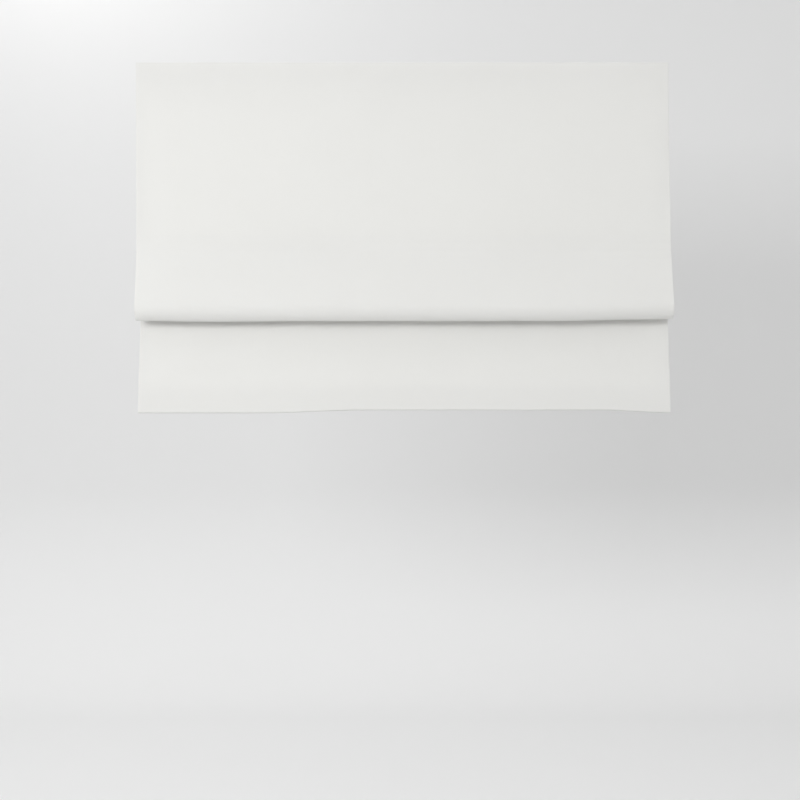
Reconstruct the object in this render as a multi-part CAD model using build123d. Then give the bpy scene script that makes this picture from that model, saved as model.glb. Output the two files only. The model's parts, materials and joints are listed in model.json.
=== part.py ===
from build123d import *

import os
from math import asin, atan2, cos, degrees, hypot, radians, sin, sqrt, tan

# Roman blind with a spring lift, gathered about halfway up, in millimetres.
# The origin is the middle of the brackets' screw holes, on the face they are screwed to.
# +Z is up, +X runs along the headrail and the room is on the -Y side.

# Cloth
CLOTH_WIDTH = 900.0
CLOTH_THICKNESS = 0.8
CLOTH_TOP_DROP = 2.0
PANEL_STRAIGHT = 20.0
PANEL_BEND = 300.0
SIDE_HEM = 20.0
SIDE_HEM_THICKNESS = 0.6

# Folds of the cloth
FRONT_FOLD_HANG = 143.8
BROW_RADIUS = 27.0
NOSE_RADIUS = 4.0
TUCK_ANGLE = 65.0
FOLD_EASE = 150.0
FOLD_GAP = 8.0
FOLD_STAGGER = 14.0
REAR_FOLD_REACH = 5.5
REAR_FOLD_WIDTH = 13.0
REAR_FOLD_FLAT = 2.0
LEG_BEND = 60.0
CREST_RADIUS = 1.2
CREST_FLAT = 0.2
CREST_RISE = 5.5
CREST_RUN = 8.0
LAYER_GAP = 1.6
SKIRT_HANG = 147.7
SKIRT_SET_BACK = 8.5
SKIRT_SET_FORWARD = 2.0
SKIRT_BEND = 120.0

# Hem pocket and bottom bar
BAR_HEIGHT = 20.0
BAR_THICKNESS = 4.0
BAR_CORNER = 1.9
BAR_INSET = 4.0
BAR_FIT = 0.3
BAR_CAP_WALL = 2.0
HEM_HEADROOM = 4.0
HEM_SLOPE = 6.0
HEM_SEAM = 8.0
HEM_BEND = 3.0
STITCH_WIDTH = 2.0

# Rods, their sewn pockets and their tips
TOP_ROD_DROP = 297.0
TOP_ROD_LEAN = 10.0
ROD_PITCH = 11.0
ROD_RUN = 18.0
ROD_DIAMETER = 4.0
ROD_END_GAP = 4.0
POCKET_WALL = 0.7
POCKET_FIT = 0.3
POCKET_FLANGE = 8.0
POCKET_END_GAP = 2.0
TIP_WALL = 0.8
TIP_LENGTH = 8.0
TIP_FIT = 0.05

# Lift cords, rings, anchors and knots
CORD_DIAMETER = 1.2
CORD_LAY_GAP = 0.15
CORD_RING_GAP = 0.3
RING_WIRE = 1.8
RING_SIDE_COUNT = 8
ANCHOR_WIDTH = 7.0
ANCHOR_THICKNESS = 2.4
KNOT_DIAMETER = 3.6
WINDING_TURNS = 13
WINDING_PITCH_SHARE = 0.97

# Headrail and end caps
RAIL_HEIGHT = 34.0
RAIL_WALL = 1.5
RAIL_CORNER = 2.0
RAIL_INSET = 3.0
FRONT_LIP = 2.0
REAR_LIP = 7.5
RIB_SPACING = 24.0
RIB_HEIGHT = 5.2
RIB_WALL = 1.5
RIB_FLANGE_REACH = 4.0
CAP_WALL = 2.5
CAP_EDGE = 0.8
CAP_PLUG_DEPTH = 10.0
CAP_PLUG_WALL = 1.8
CAP_FIT = 0.15
CAP_BOSS_DIAMETER = 10.0
TAPE_HEIGHT = 25.0
HOOK_TAPE_THICKNESS = 1.5
LOOP_TAPE_THICKNESS = 1.5

# Clip brackets
BRACKET_INSET = 120.0
BRACKET_WIDTH = 30.0
BRACKET_SHEET = 1.5
BRACKET_BEND = 1.2
BRACKET_FIT = 0.3
BRACKET_HOOK_GAP = 0.5
RELEASE_TAB_REACH = 7.0
RELEASE_TAB_WIDTH = 14.0
RELEASE_TAB_CORNER = 3.0
SCREW_HOLE_DIAMETER = 4.5
SCREW_HOLE_SPACING = 14.0

# Lift shaft, spools and their cradles
SHAFT_FLAT_COUNT = 6
SHAFT_ACROSS_FLATS = 6.0
JOURNAL_DIAMETER = 5.0
JOURNAL_LENGTH = 8.0
SHAFT_END_GAP = 0.5
RUNNING_FIT = 0.05
SPOOL_INSET = 150.0
DRUM_DIAMETER = 14.0
DRUM_LENGTH = 30.0
SPOOL_FLANGE_DIAMETER = 20.0
SPOOL_FLANGE_WALL = 1.5
SPOOL_END_PLAY = 0.3
HUB_DIAMETER = 9.0
HUB_PROUD = 1.0
CRADLE_WALL = 3.0
CRADLE_BASE = 2.0
CRADLE_HEAD_DIAMETER = 20.0
CRADLE_FIT = 0.2
CORD_EYE_DIAMETER = 3.0

# Spring motor
MOTOR_WALL = 2.0
MOTOR_ROOM = 0.8
MOTOR_BACK_ROOM = 2.65
MOTOR_AXIS_SPACING = 13.0
SPRING_WIDTH = 16.0
SPRING_SHEET = 0.25
SPRING_SIDE_PLAY = 0.5
OUTPUT_DRUM_DIAMETER = 10.0
OUTPUT_COIL_DIAMETER = 12.0
STORAGE_DRUM_DIAMETER = 7.0
STORAGE_COIL_DIAMETER = 12.4
MOTOR_PIN_DIAMETER = 4.0

# One gap for sewn and resting pieces, and one overrun for every cut
SEAT_GAP = 0.1
OVERRUN = 1.0

SIDES = {"left": -1, "right": 1}
ROD_NAMES = ("top", "middle", "bottom")

# Places along the headrail
spool_spacing = CLOTH_WIDTH / 2 - SPOOL_INSET
stations = {"left": -spool_spacing, "centre": 0.0, "right": spool_spacing}
bracket_x = CLOTH_WIDTH / 2 - BRACKET_INSET
motor_x = spool_spacing / 2

# Spacing of the cloth's layers behind the panel, the rods, the rings and the cords
half_cloth = CLOTH_THICKNESS / 2
crest_width = 2 * CREST_RADIUS + CREST_FLAT
layer_step = crest_width + CLOTH_THICKNESS + LAYER_GAP
pocket_radius = ROD_DIAMETER / 2 + POCKET_FIT + POCKET_WALL
rod_set_back = half_cloth + SEAT_GAP + pocket_radius
ring_inner_radius = layer_step + CORD_DIAMETER / 2 + CORD_RING_GAP
ring_outer_radius = ring_inner_radius + RING_WIRE
ring_set_back = pocket_radius + SEAT_GAP + ring_outer_radius
cord_set_back = layer_step - TOP_ROD_LEAN + rod_set_back + ring_set_back
shaft_set_back = cord_set_back + DRUM_DIAMETER / 2 + CORD_DIAMETER / 2 + CORD_LAY_GAP

# Headrail, as deep as the shaft and the motor behind it need
cloth_set_forward = HOOK_TAPE_THICKNESS + LOOP_TAPE_THICKNESS + half_cloth
motor_room_radius = max(OUTPUT_COIL_DIAMETER, STORAGE_COIL_DIAMETER) / 2 + MOTOR_ROOM
motor_back = MOTOR_AXIS_SPACING + motor_room_radius + MOTOR_WALL + CRADLE_FIT + MOTOR_BACK_ROOM
rail_depth = shaft_set_back - cloth_set_forward + motor_back + RAIL_WALL
rail_inner_depth = rail_depth - 2 * RAIL_WALL
rail_inner_height = RAIL_HEIGHT - 2 * RAIL_WALL
rail_length = CLOTH_WIDTH - 2 * (RAIL_INSET + CAP_WALL)
rib_top_z = -(BRACKET_SHEET + BRACKET_FIT)
rail_top_z = rib_top_z - RIB_HEIGHT
rail_bottom_z = rail_top_z - RAIL_HEIGHT
rail_middle_z = (rail_top_z + rail_bottom_z) / 2
rail_floor_z = rail_bottom_z + RAIL_WALL
slot_front_y = -rail_inner_depth / 2 + FRONT_LIP
slot_back_y = rail_inner_depth / 2 - REAR_LIP
slot_middle_y = (slot_front_y + slot_back_y) / 2

# Places of the cloth's layers and of the rods behind them
cloth_top_y = -rail_depth / 2 - cloth_set_forward
rod_cloth_ys = [cloth_top_y - TOP_ROD_LEAN + row * layer_step for row in range(len(ROD_NAMES))]
rod_ys = [y + rod_set_back for y in rod_cloth_ys]
rod_zs = [-(TOP_ROD_DROP + row * ROD_PITCH) for row in range(len(ROD_NAMES))]
rod_half_length = CLOTH_WIDTH / 2 - SIDE_HEM - ROD_END_GAP - TIP_WALL
pocket_length = 2 * (rod_half_length + TIP_WALL - TIP_LENGTH - POCKET_END_GAP)
tuck = radians(TUCK_ANGLE)
rear_fold_y = rod_cloth_ys[1] - REAR_FOLD_REACH
front_fold_z = rod_zs[0] - FRONT_FOLD_HANG + half_cloth
nose_y = rear_fold_y - FOLD_GAP - NOSE_RADIUS
nose_z = front_fold_z + NOSE_RADIUS
brow_y = nose_y + (BROW_RADIUS - NOSE_RADIUS) * cos(tuck)
brow_z = nose_z + (BROW_RADIUS - NOSE_RADIUS) * sin(tuck)
rear_fold_z = front_fold_z + FOLD_STAGGER
skirt_back_y = rod_cloth_ys[2] + SKIRT_SET_BACK
hem_y = rod_cloth_ys[2] - SKIRT_SET_FORWARD
hem_z = front_fold_z - SKIRT_HANG
hem_depth = BAR_THICKNESS + 2 * BAR_FIT + CLOTH_THICKNESS
hem_radius = (hem_depth - CREST_FLAT) / 2
bar_y = hem_y + hem_depth / 2
bar_bottom_z = hem_z + half_cloth + BAR_FIT
hem_slope_z = bar_bottom_z + BAR_HEIGHT + HEM_HEADROOM
hem_seam_z = hem_slope_z + HEM_SLOPE
hem_top_z = hem_seam_z + HEM_SEAM

# Places of the lift cords and of the shaft that winds them
ring_ys = [y + ring_set_back for y in rod_ys]
cord_y = cloth_top_y + cord_set_back
shaft_y = cloth_top_y + shaft_set_back
shaft_z = rail_middle_z
winding_pitch = CORD_DIAMETER * WINDING_PITCH_SHARE
winding_start = -DRUM_LENGTH / 2 + SPOOL_END_PLAY
cord_offset = winding_start + WINDING_TURNS * winding_pitch + CORD_DIAMETER / 2 + CORD_LAY_GAP
cord_end_z = rod_zs[2] - ANCHOR_THICKNESS / 2 - SEAT_GAP
cradle_inner = DRUM_LENGTH / 2 + SPOOL_FLANGE_WALL + SPOOL_END_PLAY
cradle_outer = cradle_inner + CRADLE_WALL
hub_half_length = cradle_outer + HUB_PROUD

# Places in the spring motor
storage_y = shaft_y + MOTOR_AXIS_SPACING
motor_inner_length = SPRING_WIDTH + 2 * SPRING_SIDE_PLAY
motor_start_x = motor_x - motor_inner_length / 2 - MOTOR_WALL
motor_cover_x = motor_x + motor_inner_length / 2
motor_depth = rail_inner_depth - 2 * CRADLE_FIT
motor_top_z = shaft_z + motor_room_radius + MOTOR_WALL
motor_bore_length = motor_inner_length + 2 * MOTOR_WALL


def along_x(section, length, start):
    """Carry a section drawn in (y, z) along +X from start."""
    return extrude(Plane.YZ.offset(start) * section, amount=length)


def centred_x(section, length, middle=0.0):
    """Carry a section drawn in (y, z) along X, half to each side of middle."""
    return along_x(section, length, middle - length / 2)


def group(shapes):
    """Like pieces that share one node, still as separate solids."""
    return Compound(children=[solid for shape in shapes for solid in shape.solids()])


def round_section(diameter, y, z):
    """Disc of one diameter at (y, z)."""
    return Pos(y, z) * Circle(diameter / 2)


def hex_section(across_flats):
    """Hexagon of the lift shaft, or of a bore that it drives."""
    return Pos(shaft_y, shaft_z) * RegularPolygon(across_flats / 2, SHAFT_FLAT_COUNT, major_radius=False)


def ribbon_section(corners, distance, side):
    """Strip along a bent line of (y, z, radius) corners, to one side of it or to both."""
    points = [(y, z) for y, z, _ in corners]
    bends = [radius for _, _, radius in corners[1:-1]]
    return make_face(offset(FilletPolyline(*points, radius=bends), distance, side=side).edges())


def crest_corners(row):
    """The tight turn over a rod: up in front of it and down again on its cloth line."""
    back_y = rod_cloth_ys[row]
    top_z = rod_zs[row] + CREST_RISE
    low_z = rod_zs[row] - CREST_RUN
    return [
        (back_y - crest_width, low_z, LEG_BEND),
        (back_y - crest_width, top_z, CREST_RADIUS),
        (back_y, top_z, CREST_RADIUS),
        (back_y, low_z, LEG_BEND),
    ]


def front_fold_corners(start_y, start_z):
    """The front fold below a start point: a large round brow that tucks under, and a tight nose behind it."""
    back = brow_y - start_y
    drop = start_z - brow_z
    distance = hypot(back, drop)
    lean = asin(BROW_RADIUS / distance) - atan2(back, drop)
    reach = sqrt(distance**2 - BROW_RADIUS**2) + BROW_RADIUS * tan((lean + tuck) / 2)
    tip = NOSE_RADIUS / tan(tuck / 2)
    tip_y = nose_y - NOSE_RADIUS * cos(tuck) + tip * sin(tuck)
    tip_z = nose_z - NOSE_RADIUS * sin(tuck) - tip * cos(tuck)
    return [
        (start_y - reach * sin(lean), start_z - reach * cos(lean), BROW_RADIUS),
        (tip_y, tip_z, NOSE_RADIUS),
    ]


def rear_fold_corners():
    """The soft round bottom of the rear fold, with a short flat in its middle."""
    radius = (REAR_FOLD_WIDTH - REAR_FOLD_FLAT) / 2
    return [(rear_fold_y, rear_fold_z, radius), (rear_fold_y + REAR_FOLD_WIDTH, rear_fold_z, radius)]


def cloth_corners():
    """Middle line of the cloth from its top edge, through both folds, to the hem pocket."""
    panel_foot_z = rod_zs[0] - ROD_RUN
    panel = [
        (cloth_top_y, -CLOTH_TOP_DROP, 0),
        (cloth_top_y, rail_bottom_z - PANEL_STRAIGHT, PANEL_BEND),
        (rod_cloth_ys[0], rod_zs[0] + ROD_RUN, PANEL_BEND),
        (rod_cloth_ys[0], panel_foot_z, FOLD_EASE),
    ]
    front_fold = front_fold_corners(rod_cloth_ys[0], panel_foot_z)
    skirt = [
        (skirt_back_y, front_fold_z, SKIRT_BEND),
        (hem_y, hem_top_z + HEM_SEAM, SKIRT_BEND),
    ]
    return panel + front_fold + crest_corners(1) + rear_fold_corners() + crest_corners(2) + skirt


def hem_corners():
    """Turn of the hem pocket round the bottom bar, back up to its seam."""
    back_y = hem_y + hem_depth
    seam_y = hem_y + CLOTH_THICKNESS + SEAT_GAP
    return [
        (hem_y, hem_z, hem_radius),
        (back_y, hem_z, hem_radius),
        (back_y, hem_slope_z, HEM_BEND),
        (seam_y, hem_seam_z, HEM_BEND),
        (seam_y, hem_top_z, 0),
    ]


def make_cloth():
    """One sheet, folded twice, with side hems and a bar pocket sewn shut along its seam."""
    sheet = ribbon_section(cloth_corners() + hem_corners(), half_cloth, Side.BOTH)
    cloth = centred_x(sheet, CLOTH_WIDTH)
    seam_middle_z = (hem_seam_z + hem_top_z) / 2
    seam = Pos(hem_y + half_cloth, seam_middle_z) * Rectangle(CLOTH_THICKNESS, STITCH_WIDTH)
    cloth += centred_x(seam, CLOTH_WIDTH)
    hem_section = ribbon_section(cloth_corners(), half_cloth + SIDE_HEM_THICKNESS, Side.LEFT)
    for side in SIDES.values():
        cloth += centred_x(hem_section, SIDE_HEM, side * (CLOTH_WIDTH - SIDE_HEM) / 2)
    return cloth


def make_headrail():
    """Extruded channel with a cord slot below and two flanged ribs on top for the clips."""
    section = Pos(0, rail_middle_z) * RectangleRounded(rail_depth, RAIL_HEIGHT, RAIL_CORNER)
    section -= Pos(0, rail_middle_z) * Rectangle(rail_inner_depth, rail_inner_height)
    slot = Rectangle(slot_back_y - slot_front_y, RAIL_WALL + OVERRUN)
    section -= Pos(slot_middle_y, rail_floor_z - RAIL_WALL / 2) * slot
    flange_width = RIB_WALL + RIB_FLANGE_REACH
    for side in SIDES.values():
        rib_y = side * RIB_SPACING / 2
        flange_y = rib_y + side * RIB_FLANGE_REACH / 2
        section += Pos(rib_y, rail_top_z + RIB_HEIGHT / 2) * Rectangle(RIB_WALL, RIB_HEIGHT)
        section += Pos(flange_y, rib_top_z - RIB_WALL / 2) * Rectangle(flange_width, RIB_WALL)
    return centred_x(section, rail_length)


def make_end_cap(side):
    """Moulded cap: a plate, a hollow plug that fills the channel and a boss for the shaft."""
    face_x = side * rail_length / 2
    plug_x = face_x - side * CAP_PLUG_DEPTH / 2
    outline = Pos(0, rail_middle_z) * RectangleRounded(rail_depth, RAIL_HEIGHT, RAIL_CORNER)
    plug_depth = rail_inner_depth - 2 * CAP_FIT
    plug_height = rail_inner_height - 2 * CAP_FIT
    plug = Pos(0, rail_middle_z) * Rectangle(plug_depth, plug_height)
    hollow = Rectangle(plug_depth - 2 * CAP_PLUG_WALL, plug_height - 2 * CAP_PLUG_WALL)
    plug -= Pos(0, rail_middle_z) * hollow
    plug += round_section(CAP_BOSS_DIAMETER, shaft_y, shaft_z)
    plug -= round_section(JOURNAL_DIAMETER + 2 * RUNNING_FIT, shaft_y, shaft_z)
    plate = centred_x(outline, CAP_WALL, face_x + side * CAP_WALL / 2)
    outer_face = plate.faces().sort_by(Axis.X, reverse=side < 0)[-1]
    plate = fillet(outer_face.edges(), CAP_EDGE)
    return plate + centred_x(plug, CAP_PLUG_DEPTH, plug_x)


def make_bracket(side):
    """Spring-steel clip: a plate with two screw holes, a hook under each rib flange and a release tab."""
    middle = side * bracket_x
    plate_z = -BRACKET_SHEET / 2
    web_y = RIB_SPACING / 2 + RIB_WALL / 2 + RIB_FLANGE_REACH + BRACKET_FIT + BRACKET_SHEET / 2
    hook_z = rib_top_z - RIB_WALL - BRACKET_FIT - BRACKET_SHEET / 2
    hook_y = RIB_SPACING / 2 + RIB_WALL / 2 + BRACKET_HOOK_GAP + BRACKET_SHEET / 2
    corners = [
        (-hook_y, hook_z, 0),
        (-web_y, hook_z, BRACKET_BEND),
        (-web_y, plate_z, BRACKET_BEND),
        (web_y, plate_z, BRACKET_BEND),
        (web_y, hook_z, BRACKET_BEND),
        (hook_y, hook_z, 0),
    ]
    clip = centred_x(ribbon_section(corners, BRACKET_SHEET / 2, Side.BOTH), BRACKET_WIDTH, middle)
    tab = RectangleRounded(RELEASE_TAB_WIDTH, 2 * RELEASE_TAB_REACH, RELEASE_TAB_CORNER)
    tab &= Pos(0, RELEASE_TAB_REACH / 2) * Rectangle(RELEASE_TAB_WIDTH, RELEASE_TAB_REACH)
    clip += Pos(middle, web_y, hook_z) * extrude(tab, amount=BRACKET_SHEET / 2, both=True)
    for hole_side in SIDES.values():
        hole_y = hole_side * SCREW_HOLE_SPACING / 2
        clip -= Pos(middle, hole_y, plate_z) * Cylinder(SCREW_HOLE_DIAMETER / 2, BRACKET_SHEET + OVERRUN)
    return clip


def make_tape(front_y, thickness):
    """Strip of the touch fastener between the headrail and the cloth's top."""
    strip = Pos(front_y + thickness / 2, rail_middle_z) * Rectangle(thickness, TAPE_HEIGHT)
    return centred_x(strip, rail_length)


def make_lift_shaft():
    """Hexagonal shaft, turned round at both ends to run in the end caps."""
    half = rail_length / 2 - CAP_PLUG_DEPTH - SHAFT_END_GAP
    shaft = centred_x(hex_section(SHAFT_ACROSS_FLATS), 2 * half)
    return shaft + centred_x(round_section(JOURNAL_DIAMETER, shaft_y, shaft_z), 2 * (half + JOURNAL_LENGTH))


def make_spool(station):
    """Cord drum between two flanges, with a round hub at each end and a hexagonal bore."""
    flanged_length = DRUM_LENGTH + 2 * SPOOL_FLANGE_WALL
    spool = centred_x(round_section(HUB_DIAMETER, shaft_y, shaft_z), 2 * hub_half_length, station)
    spool += centred_x(round_section(SPOOL_FLANGE_DIAMETER, shaft_y, shaft_z), flanged_length, station)
    groove = round_section(SPOOL_FLANGE_DIAMETER + OVERRUN, shaft_y, shaft_z)
    groove -= round_section(DRUM_DIAMETER, shaft_y, shaft_z)
    spool -= centred_x(groove, DRUM_LENGTH, station)
    bore = hex_section(SHAFT_ACROSS_FLATS + 2 * RUNNING_FIT)
    return spool - centred_x(bore, 2 * (hub_half_length + OVERRUN), station)


def make_winding(station):
    """Turns of cord laid side by side on a drum, as one sleeve with its outer edges eased."""
    inner_radius = DRUM_DIAMETER / 2 + RUNNING_FIT
    outer_radius = inner_radius + CORD_DIAMETER
    length = WINDING_TURNS * winding_pitch
    ease = CORD_DIAMETER / 2
    profile = make_face(
        Polyline(
            (0, inner_radius),
            (0, outer_radius - ease),
            (ease, outer_radius),
            (length - ease, outer_radius),
            (length, outer_radius - ease),
            (length, inner_radius),
            close=True,
        )
    )
    return Pos(station + winding_start, shaft_y, shaft_z) * revolve(profile, Axis.X)


def make_cradle(station):
    """Moulded cradle on the channel's lips: two bearing walls and a base with a cord eye."""
    base_depth = rail_inner_depth - 2 * CRADLE_FIT
    base = Pos(0, rail_floor_z + CRADLE_BASE / 2) * Rectangle(base_depth, CRADLE_BASE)
    boss_depth = slot_back_y - slot_front_y - 2 * CRADLE_FIT
    base += Pos(slot_middle_y, rail_floor_z - RAIL_WALL / 2) * Rectangle(boss_depth, RAIL_WALL)
    cradle = centred_x(base, 2 * cradle_outer, station)
    wall_height = shaft_z - rail_floor_z
    wall = Pos(shaft_y, rail_floor_z + wall_height / 2) * Rectangle(CRADLE_HEAD_DIAMETER, wall_height)
    wall += round_section(CRADLE_HEAD_DIAMETER, shaft_y, shaft_z)
    wall -= round_section(HUB_DIAMETER + 2 * RUNNING_FIT, shaft_y, shaft_z)
    for side in SIDES.values():
        cradle += centred_x(wall, CRADLE_WALL, station + side * (cradle_inner + CRADLE_WALL / 2))
    eye = Cylinder(CORD_EYE_DIAMETER / 2, 2 * (CRADLE_BASE + RAIL_WALL) + OVERRUN)
    return cradle - Pos(station + cord_offset, cord_y, rail_floor_z) * eye


def make_lift_cord(station):
    """Taut cord from the side of the drum, through the rings, to the anchor."""
    length = shaft_z - cord_end_z
    drop = Cylinder(CORD_DIAMETER / 2, length)
    return Pos(station + cord_offset, cord_y, (shaft_z + cord_end_z) / 2) * drop


def motor_section():
    """Outline of the motor across the channel, from the lips up to over the drums."""
    height = motor_top_z - rail_floor_z
    return Pos(0, rail_floor_z + height / 2) * RectangleRounded(motor_depth, height, MOTOR_WALL / 2)


def motor_bores():
    """Running hole for the output drum's hub and seat for the storage pin."""
    bores = round_section(HUB_DIAMETER + 2 * RUNNING_FIT, shaft_y, shaft_z)
    return bores + round_section(MOTOR_PIN_DIAMETER + 2 * RUNNING_FIT, storage_y, shaft_z)


def make_motor_housing():
    """Moulded box, open on one side, round the two drums of the spring."""
    housing = along_x(motor_section(), MOTOR_WALL + motor_inner_length, motor_start_x)
    room = round_section(2 * motor_room_radius, shaft_y, shaft_z)
    room += round_section(2 * motor_room_radius, storage_y, shaft_z)
    room += Pos((shaft_y + storage_y) / 2, shaft_z) * Rectangle(MOTOR_AXIS_SPACING, 2 * motor_room_radius)
    housing -= along_x(room, motor_inner_length + OVERRUN, motor_start_x + MOTOR_WALL)
    return housing - along_x(motor_bores(), MOTOR_WALL + 2 * OVERRUN, motor_start_x - OVERRUN)


def make_motor_cover():
    """Flat cover that closes the motor and carries the other ends of drum and pin."""
    return along_x(motor_section() - motor_bores(), MOTOR_WALL, motor_cover_x)


def make_output_drum():
    """Drum keyed to the shaft, with hubs that run in the housing and the cover."""
    drum = centred_x(round_section(HUB_DIAMETER, shaft_y, shaft_z), motor_bore_length, motor_x)
    drum += centred_x(round_section(OUTPUT_DRUM_DIAMETER, shaft_y, shaft_z), SPRING_WIDTH, motor_x)
    bore = hex_section(SHAFT_ACROSS_FLATS + 2 * RUNNING_FIT)
    return drum - centred_x(bore, motor_bore_length + OVERRUN, motor_x)


def make_storage_drum():
    """Sleeve that turns on the pin and holds the spring's resting coil."""
    ring = round_section(STORAGE_DRUM_DIAMETER, storage_y, shaft_z)
    ring -= round_section(MOTOR_PIN_DIAMETER + 2 * RUNNING_FIT, storage_y, shaft_z)
    return centred_x(ring, SPRING_WIDTH, motor_x)


def make_motor_pin():
    """Plain pin across the motor, under the storage drum."""
    return centred_x(round_section(MOTOR_PIN_DIAMETER, storage_y, shaft_z), motor_bore_length, motor_x)


def make_motor_spring():
    """One steel band: a coil on each drum and the straight crossing between them."""
    output_radius = (OUTPUT_COIL_DIAMETER - SPRING_SHEET) / 2
    storage_radius = (STORAGE_COIL_DIAMETER - SPRING_SHEET) / 2
    crossing_angle = asin((output_radius + storage_radius) / MOTOR_AXIS_SPACING)
    crossing_length = sqrt(MOTOR_AXIS_SPACING**2 - (output_radius + storage_radius) ** 2)
    crossing_y = shaft_y + MOTOR_AXIS_SPACING * output_radius / (output_radius + storage_radius)
    crossing = Rot(0, 0, degrees(crossing_angle)) * Rectangle(crossing_length, SPRING_SHEET)
    section = Pos(crossing_y, shaft_z) * crossing
    coils = (
        (shaft_y, OUTPUT_COIL_DIAMETER, OUTPUT_DRUM_DIAMETER),
        (storage_y, STORAGE_COIL_DIAMETER, STORAGE_DRUM_DIAMETER),
    )
    for axis_y, outer, inner in coils:
        section += round_section(outer, axis_y, shaft_z)
    for axis_y, outer, inner in coils:
        section -= round_section(inner + 2 * RUNNING_FIT, axis_y, shaft_z)
    return centred_x(section, SPRING_WIDTH, motor_x)


def make_rod(row):
    """Thin stiff rod across the back of the cloth."""
    return centred_x(round_section(ROD_DIAMETER, rod_ys[row], rod_zs[row]), 2 * rod_half_length)


def make_rod_pocket(row):
    """Sewn sleeve round a rod, with a flange flat against the cloth."""
    flange_y = rod_cloth_ys[row] + half_cloth + SEAT_GAP + POCKET_WALL / 2
    sleeve = round_section(2 * pocket_radius, rod_ys[row], rod_zs[row])
    sleeve += Pos(flange_y, rod_zs[row]) * Rectangle(POCKET_WALL, POCKET_FLANGE)
    sleeve -= round_section(ROD_DIAMETER + 2 * POCKET_FIT, rod_ys[row], rod_zs[row])
    return centred_x(sleeve, pocket_length)


def make_rod_tips(row):
    """Moulded cup on both ends of a rod."""
    outer = round_section(ROD_DIAMETER + 2 * (TIP_FIT + TIP_WALL), rod_ys[row], rod_zs[row])
    inner = round_section(ROD_DIAMETER + 2 * TIP_FIT, rod_ys[row], rod_zs[row])
    hollow = TIP_LENGTH - TIP_WALL + OVERRUN
    tips = []
    for side in SIDES.values():
        end_x = side * (rod_half_length + TIP_WALL)
        cup = centred_x(outer, TIP_LENGTH, end_x - side * TIP_LENGTH / 2)
        tips.append(cup - centred_x(inner, hollow, side * (rod_half_length - hollow / 2)))
    return group(tips)


def make_cord_rings(row):
    """Rings with an eight-sided section on a pocket's back, where the three cords run through."""
    wire = RegularPolygon(RING_WIRE / 2, RING_SIDE_COUNT, major_radius=False, rotation=180 / RING_SIDE_COUNT)
    ring = revolve(Plane.XZ * Pos(ring_outer_radius - RING_WIRE / 2, 0) * wire, Axis.Z)
    places = [Pos(station + cord_offset, ring_ys[row], rod_zs[row]) for station in stations.values()]
    return group(place * ring for place in places)


def make_cord_anchors():
    """Eyed tabs on the lowest pocket, each holding the end of one cord."""
    front_y = rod_ys[2] + pocket_radius + SEAT_GAP
    reach = cord_y - front_y
    tab = Pos(0, -reach / 2) * Rectangle(ANCHOR_WIDTH, reach) + Circle(ANCHOR_WIDTH / 2)
    tab &= Pos(0, (ANCHOR_WIDTH / 2 - reach) / 2) * Rectangle(ANCHOR_WIDTH, reach + ANCHOR_WIDTH / 2)
    tab -= Circle(CORD_DIAMETER / 2 + CORD_RING_GAP)
    plate = extrude(tab, amount=ANCHOR_THICKNESS / 2, both=True)
    return group(Pos(station + cord_offset, cord_y, rod_zs[2]) * plate for station in stations.values())


def make_cord_knots():
    """Knot under each anchor that ends a cord."""
    knot_z = cord_end_z - SEAT_GAP - KNOT_DIAMETER / 2
    ball = Sphere(KNOT_DIAMETER / 2)
    return group(Pos(station + cord_offset, cord_y, knot_z) * ball for station in stations.values())


def bar_section():
    """Flat bar section with rounded long edges, inside the hem pocket."""
    bar_middle_z = bar_bottom_z + BAR_HEIGHT / 2
    return Pos(bar_y, bar_middle_z) * RectangleRounded(BAR_THICKNESS, BAR_HEIGHT, BAR_CORNER)


def make_bottom_bar():
    """Weight bar that keeps the skirt flat."""
    return centred_x(bar_section(), CLOTH_WIDTH - 2 * (BAR_INSET + BAR_CAP_WALL))


def make_bottom_bar_caps():
    """Moulded plate on each end of the bar."""
    middle = CLOTH_WIDTH / 2 - BAR_INSET - BAR_CAP_WALL / 2
    return group(centred_x(bar_section(), BAR_CAP_WALL, side * middle) for side in SIDES.values())


def build_nodes():
    """Every piece of the blind under its own name."""
    nodes = {
        "headrail": make_headrail(),
        "cloth": make_cloth(),
        "hook_tape": make_tape(-rail_depth / 2 - HOOK_TAPE_THICKNESS, HOOK_TAPE_THICKNESS),
        "loop_tape": make_tape(cloth_top_y + half_cloth, LOOP_TAPE_THICKNESS),
        "lift_shaft": make_lift_shaft(),
        "motor_housing": make_motor_housing(),
        "motor_cover": make_motor_cover(),
        "motor_output_drum": make_output_drum(),
        "motor_storage_drum": make_storage_drum(),
        "motor_pin": make_motor_pin(),
        "motor_spring": make_motor_spring(),
        "cord_anchors": make_cord_anchors(),
        "cord_knots": make_cord_knots(),
        "bottom_bar": make_bottom_bar(),
        "bottom_bar_caps": make_bottom_bar_caps(),
    }
    for name, side in SIDES.items():
        nodes[f"end_cap_{name}"] = make_end_cap(side)
        nodes[f"bracket_{name}"] = make_bracket(side)
    for name, station in stations.items():
        nodes[f"spool_{name}"] = make_spool(station)
        nodes[f"spool_cradle_{name}"] = make_cradle(station)
        nodes[f"cord_winding_{name}"] = make_winding(station)
        nodes[f"lift_cord_{name}"] = make_lift_cord(station)
    for row, name in enumerate(ROD_NAMES):
        nodes[f"rod_{name}"] = make_rod(row)
        nodes[f"rod_pocket_{name}"] = make_rod_pocket(row)
        nodes[f"rod_tips_{name}"] = make_rod_tips(row)
    for row, name in enumerate(ROD_NAMES[:-1]):
        nodes[f"cord_rings_{name}"] = make_cord_rings(row)
    return nodes


def main():
    """Write one file for each piece."""
    os.makedirs("parts", exist_ok=True)
    for name, shape in build_nodes().items():
        export_step(shape, f"parts/{name}.step")


main()
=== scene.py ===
import json

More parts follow.
